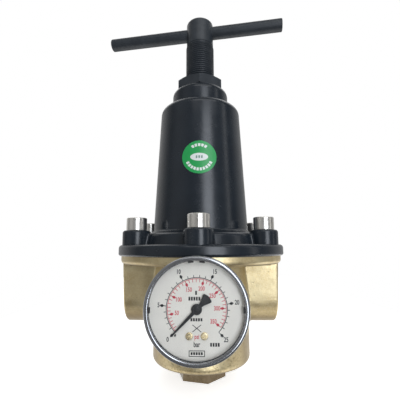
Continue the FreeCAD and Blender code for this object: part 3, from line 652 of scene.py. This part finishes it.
def dial_scales():
    black = Solid()
    scale_line(black, BAR_LINE_R, 0.42, 25)
    for bar in range(26):
        angle = scale_angle(bar)
        dash(black, angle, BAR_LINE_R, BAR_TICK_R if bar % 5 else BAR_MAIN_TICK_R, 0.36)
        if bar % 5 == 0:
            diamond(black, angle, BAR_DIAMOND_R, 1.3, 0.8)
    black.piece("dial_scale_bar", "body", INK_BLACK, "dial_paint")
    red = Solid()
    scale_line(red, PSI_LINE_R, 0.32, 350 * BAR_PER_PSI)
    for psi in range(0, 351, 10):
        angle = scale_angle(psi * BAR_PER_PSI)
        dash(red, angle, PSI_TICK_R, PSI_LINE_R, 0.34)
        if psi % 50 == 0 and psi:
            diamond(red, angle + 180, -PSI_DIAMOND_R, 1.3, 0.75)
    red.piece("dial_scale_psi", "body", INK_RED, "dial_paint")


def lettering(name, words, size, weight, material):
    """Flat raised numbers or a unit. words is a list of (text, u, v)."""
    lift = (INK_HIGH + INK_LOW) / 2
    points = []
    faces = []
    for text, u, v in words:
        curve = bpy.data.curves.new(name, "FONT")
        curve.body = text
        curve.size = size
        curve.align_x = "CENTER"
        curve.align_y = "CENTER"
        curve.extrude = (INK_HIGH - INK_LOW) / 2
        curve.resolution_u = 3
        curve.offset = weight
        holder = placed(name, curve)
        mesh = evaluated_mesh(holder)
        start = len(points)
        points += [on_dial(u + p.co.x * NUMERAL_SQUEEZE, v + p.co.y, lift + p.co.z)
                   for p in mesh.vertices]
        faces += [[start + i for i in f.vertices] for f in mesh.polygons]
        bpy.data.objects.remove(holder)
        bpy.data.meshes.remove(mesh)
        bpy.data.curves.remove(curve)
    piece(name, points, faces, "body", material)


def on_scale(text, bar, radius):
    """A text and its place on the dial at a pressure."""
    a = math.radians(scale_angle(bar))
    return text, radius * math.cos(a), radius * math.sin(a)


def dial_numbers():
    bars = [on_scale(str(bar), bar, BAR_FIVE_R if bar == 5 else BAR_NUMBER_R)
            for bar in range(0, 26, 5)]
    psis = [on_scale(str(psi), psi * BAR_PER_PSI, PSI_NUMBER_R) for psi in range(50, 351, 50)]
    lettering("dial_numbers_bar", bars, 3.7, 0.09, INK_BLACK)
    lettering("dial_numbers_psi", psis, 3.5, 0.065, INK_RED)
    lettering("dial_unit_bar", [("bar", 0, -19.4)], 4.0, 0.09, INK_BLACK)
    lettering("dial_unit_psi", [("psi", 0, -15.2)], 3.6, 0.07, INK_RED)


BLOCK_STEP = 1.45
BLOCK_WIDTH = 1.05
BLOCK_ROWS = (  # blocks, first u, low v, height
    (5, -4.8, 4.8, 2.1),
    (1, -0.9, 8.0, 2.3),
    (5, -3.6, -6.7, 1.7),
    (4, 7.6, -20.4, 2.0),
    (5, -3.5, -24.9, 1.5),
)
CROSS_V = -10.6
CROSS_TILT = 38
FRAME_LOW, FRAME_HIGH, FRAME_SIDE, FRAME_LINE = -25.9, -22.5, 4.6, 0.42


def dial_marks():
    """Rows of plain blocks, the lowest one framed, and a plain cross, with no words."""
    solid = Solid()

    def block(left, low, right, high):
        solid.prism(rectangle(left, low, right, high), on_dial, INK_LOW, INK_HIGH)

    for count, first_u, v, height in BLOCK_ROWS:
        for i in range(count):
            left = first_u + BLOCK_STEP * i
            block(left, v, left + BLOCK_WIDTH, v + height)
    for tilt in (CROSS_TILT, -CROSS_TILT):
        line = turned(rectangle(-3.2, -0.2, 3.2, 0.2), tilt, 0, (0, CROSS_V))
        solid.prism(line, on_dial, INK_LOW, INK_HIGH)
    inner_low, inner_high = FRAME_LOW + FRAME_LINE, FRAME_HIGH - FRAME_LINE
    block(-FRAME_SIDE, FRAME_LOW, FRAME_SIDE, inner_low)
    block(-FRAME_SIDE, inner_high, FRAME_SIDE, FRAME_HIGH)
    block(-FRAME_SIDE, inner_low, FRAME_LINE - FRAME_SIDE, inner_high)
    block(FRAME_SIDE - FRAME_LINE, inner_low, FRAME_SIDE, inner_high)
    solid.piece("dial_marks", "body", INK_BLACK, "dial_paint")


PAD_ANGLES = (0, 83, 97, 180)
PAD_INNER_R = 26.75
PAD_OUTER_R = 28.2
PAD_HALF_WIDTH = 1.6
PAD_LOW = 2.35
PAD_HIGH = 3.7


def window_pads():
    """Dark plastic pads in the window's four notches, behind the lip."""
    outline = rectangle(0, -PAD_HALF_WIDTH, PAD_OUTER_R - PAD_INNER_R, PAD_HALF_WIDTH)
    pads = Solid()
    for angle in PAD_ANGLES:
        pads.prism(turned(outline, angle, PAD_INNER_R), on_dial, PAD_LOW, PAD_HIGH)
    pads.piece("window_pads", "body", LOOKS["seal_rubber"], "seal_rubber")


# ---- Label print ----

CONE_LOW_R, CONE_LOW_Z = 41.3 * MM, 116.4 * MM
CONE_HIGH_R, CONE_HIGH_Z = 35.9 * MM, 228.8 * MM
LABEL_SKIN = 0.3 * MM
PRINT_LOW = -0.05
PRINT_HIGH = 0.04
OVAL_U = 7.1
OVAL_V = 3.25
OVAL_RINGS = 7
DASH_INNER_R = 8.9
DASH_OUTER_R = 11.3
DASH_ARCS = ((128, 52, 5), (200, 340, 10))  # start, end, dashes
DASH_SHARE = (0.14, 0.86)
LABEL_BLOCK_LEFTS = (-2.7, -0.6, 1.5)
LABEL_BLOCK_WIDTH = 1.2
LABEL_BLOCK_HALF_HEIGHT = 1.1


def on_label(u, v, lift):
    """Point on the sticker's face: u across and v up from its centre."""
    z = LABEL_Z + v * MM
    share = (z - CONE_LOW_Z) / (CONE_HIGH_Z - CONE_LOW_Z)
    radius = CONE_LOW_R + (CONE_HIGH_R - CONE_LOW_R) * share + LABEL_SKIN + lift * MM
    x = u * MM
    return Vector((x, -math.sqrt(radius ** 2 - x ** 2), z))


def label_print():
    """Plain oval with three blocks on it, between two arcs of dashes."""
    solid = Solid()
    oval = [(OVAL_U * math.cos(a), OVAL_V * math.sin(a)) for a in full_turn(64)]
    shells = [[(u * k / OVAL_RINGS, v * k / OVAL_RINGS) for u, v in oval]
              for k in range(OVAL_RINGS, 0, -1)]
    back, face = ([[on_label(u, v, lift) for u, v in shell] for shell in shells]
                  for lift in (PRINT_LOW, PRINT_HIGH))
    solid.sweep(back[::-1] + face)
    for start, end, count in DASH_ARCS:
        step = (end - start) / count
        for i in range(count):
            low, high = (start + step * (i + share) for share in DASH_SHARE)
            inner, outer = (arc(radius, low, high, 6) for radius in (DASH_INNER_R, DASH_OUTER_R))
            solid.strip(inner, outer, on_label, PRINT_LOW, PRINT_HIGH)
    solid.piece("label_print", "body", INK_WHITE, "label_film", math.radians(40))
    blocks = Solid()
    for left in LABEL_BLOCK_LEFTS:
        outline = rectangle(left, -LABEL_BLOCK_HALF_HEIGHT, left + LABEL_BLOCK_WIDTH,
                            LABEL_BLOCK_HALF_HEIGHT)
        blocks.prism(outline, on_label, PRINT_LOW, PRINT_HIGH + 0.03)
    blocks.piece("label_blocks", "body", INK_GREY, "label_film")


# ---- Casting flash under the brass flange ----

FLASH_STEPS = 360
FLASH_SIDES = 8
FLASH_WAVES = 14
FLASH_INSET = 2.1
FLASH_THICK = 0.34
FLASH_RISE = 0.9


def flange_flash():
    """Thin uneven bead that the mould's joint left on the flange's lower edge."""
    rng = random.Random(4)
    waves = [(rng.uniform(0.4, 1.0), rng.randint(7, 70), rng.uniform(0, 6.28))
             for _ in range(FLASH_WAVES)]
    rings = []
    for a in full_turn(FLASH_STEPS):
        swing = sum(w * math.sin(n * a + p) for w, n, p in waves) / (FLASH_WAVES / 2)
        thick = (FLASH_THICK + 0.16 * swing) * MM
        radius = FLANGE_R - (FLASH_INSET - 0.12 * swing) * MM
        rise = FLASH_RISE + 0.12 * math.sin(5 * a) + 0.1 * swing
        z = FLANGE_UNDERSIDE_Z + rise * MM
        ring = []
        for t in full_turn(FLASH_SIDES):
            r = radius + thick * math.cos(t)
            ring.append(Vector((r * math.cos(a), r * math.sin(a), z + thick * math.sin(t))))
        rings.append(ring)
    solid = Solid()
    solid.sweep(rings, closed=True)
    solid.piece("flange_flash", "body", LOOKS["cast_brass"], "cast_brass", math.radians(60))


spindle()
port_thread("inlet_port_thread", -1)
port_thread("outlet_port_thread", 1)
dial_scales()
dial_numbers()
dial_marks()
window_pads()
label_print()
flange_flash()


# ---- Floor, light and camera ----

FLOOR_SIDE = 0.3
FLOOR_FRONT = -0.045
FLOOR_REAR = 0.8
FLOOR_GLOW = 0.72
AIM = Vector((0, 0, 0.15))
SOFTBOXES = (  # name, azimuth, elevation, distance, width, height, power, colour
    ("key", 19.5, 3, 1.1, 0.44, 1.25, 7.9, (0.92, 0.97, 1.05)),
    ("side_strip", 72, 14, 1.1, 0.16, 1.1, 0.7, (1, 1, 1)),
    ("top_front", 14, 50, 1.2, 1.2, 0.5, 2.6, (1, 1, 1)),
    ("floor_light", 180, 62, 2.2, 3.4, 1.6, 15, (1, 1, 1)),
)
CAMERA_DISTANCE = 265.5 * MM
CAMERA_Z = 103.4 * MM
CAMERA_AZIMUTH = math.radians(1.6)
CAMERA_PITCH = math.radians(9.0)
CAMERA_ROLL = math.radians(-0.25)
CAMERA_SHIFT = -0.6 * MM
CAMERA_LENS = 26.73
CAMERA_SENSOR = 36
CAMERA_CLIP_START = 0.01


def floor():
    """Pale glowing table top. Its front edge lies under the object."""
    s = Shader("floor", (0.90, 0.90, 0.90), 0.0, 0.6)
    s.link(s.tones(3, (0.88, 0.88, 0.88), (0.92, 0.92, 0.92), 0.3), "Base Color")
    s.set("Emission Color", (1, 1, 1, 1))
    s.set("Emission Strength", FLOOR_GLOW)
    mesh = bpy.data.meshes.new("floor")
    corners = rectangle(-FLOOR_SIDE, FLOOR_FRONT, FLOOR_SIDE, FLOOR_REAR)
    mesh.from_pydata([(x, y, 0) for x, y in corners], [], [[0, 1, 2, 3]])
    mesh.materials.append(s.material)
    placed("floor", mesh)


def softbox(name, azimuth, elevation, distance, width, height, power, color):
    """Area light that looks at the object. Azimuth 0 is in front and 90 is on the right."""
    a, e = math.radians(azimuth), math.radians(elevation)
    away = Vector((math.sin(a) * math.cos(e), -math.cos(a) * math.cos(e), math.sin(e)))
    light = bpy.data.lights.new(name, "AREA")
    light.shape = "RECTANGLE"
    light.size = width
    light.size_y = height
    light.energy = power
    light.color = color
    made = placed(name, light)
    made.location = AIM + away * distance
    made.rotation_mode = "QUATERNION"
    made.rotation_quaternion = (-away).to_track_quat("-Z", "Y")


def room():
    """Surroundings that are dim beside the object and paler behind, above and at the front left.

    The camera sees them plain white.
    """
    world = bpy.data.worlds.new("studio")
    bpy.context.scene.world = world
    world.use_nodes = True
    tree = world.node_tree
    background = tree.nodes["Background"]
    background.inputs["Color"].default_value = (1, 1, 1, 1)
    place = tree.nodes.new("ShaderNodeTexCoord")
    split = tree.nodes.new("ShaderNodeSeparateXYZ")
    tree.links.new(place.outputs["Generated"], split.inputs[0])

    def ramp(axis, low, high, start, end):
        share = tree.nodes.new("ShaderNodeMapRange")
        for socket, value in (("From Min", low), ("From Max", high),
                              ("To Min", start), ("To Max", end)):
            share.inputs[socket].default_value = value
        tree.links.new(split.outputs[axis], share.inputs["Value"])
        return share.outputs[0]

    def joined(operation, first, second):
        total = tree.nodes.new("ShaderNodeMath")
        total.operation = operation
        tree.links.new(first, total.inputs[0])
        tree.links.new(second, total.inputs[1])
        return total.outputs[0]

    front = joined("MULTIPLY", ramp("X", -0.65, -0.3, 0.40, 0.2),
                   ramp("Y", -0.35, -0.08, 1.0, 0.45))
    front_and_rear = joined("ADD", front, ramp("Y", 0.0, 0.45, 0.0, 0.40))
    glow = joined("ADD", front_and_rear, ramp("Z", 0.6, 0.95, 0.0, 0.1))
    ray = tree.nodes.new("ShaderNodeLightPath")
    seen = tree.nodes.new("ShaderNodeMix")
    tree.links.new(ray.outputs["Is Camera Ray"], seen.inputs[0])
    tree.links.new(glow, seen.inputs[2])
    seen.inputs[3].default_value = 1.0
    tree.links.new(seen.outputs[0], background.inputs["Strength"])


def camera():
    """Camera close in front of the object, at the flange's height and tilted up."""
    data = bpy.data.cameras.new("camera")
    data.lens = CAMERA_LENS
    data.sensor_width = CAMERA_SENSOR
    data.clip_start = CAMERA_CLIP_START
    made = placed("camera", data)
    across = Vector((math.cos(CAMERA_AZIMUTH), math.sin(CAMERA_AZIMUTH), 0))
    back = Vector((math.sin(CAMERA_AZIMUTH), -math.cos(CAMERA_AZIMUTH), 0))
    spot = back * CAMERA_DISTANCE + across * CAMERA_SHIFT + Vector((0, 0, CAMERA_Z))
    heading = Matrix.Rotation(CAMERA_AZIMUTH, 4, "Z")
    pitch = Matrix.Rotation(math.pi / 2 + CAMERA_PITCH, 4, "X")
    roll = Matrix.Rotation(CAMERA_ROLL, 4, "Z")
    made.matrix_world = Matrix.Translation(spot) @ (heading @ pitch) @ roll
    bpy.context.scene.camera = made


floor()
room()
for row in SOFTBOXES:
    softbox(*row)
camera()
bpy.context.scene.view_settings.view_transform = "Standard"
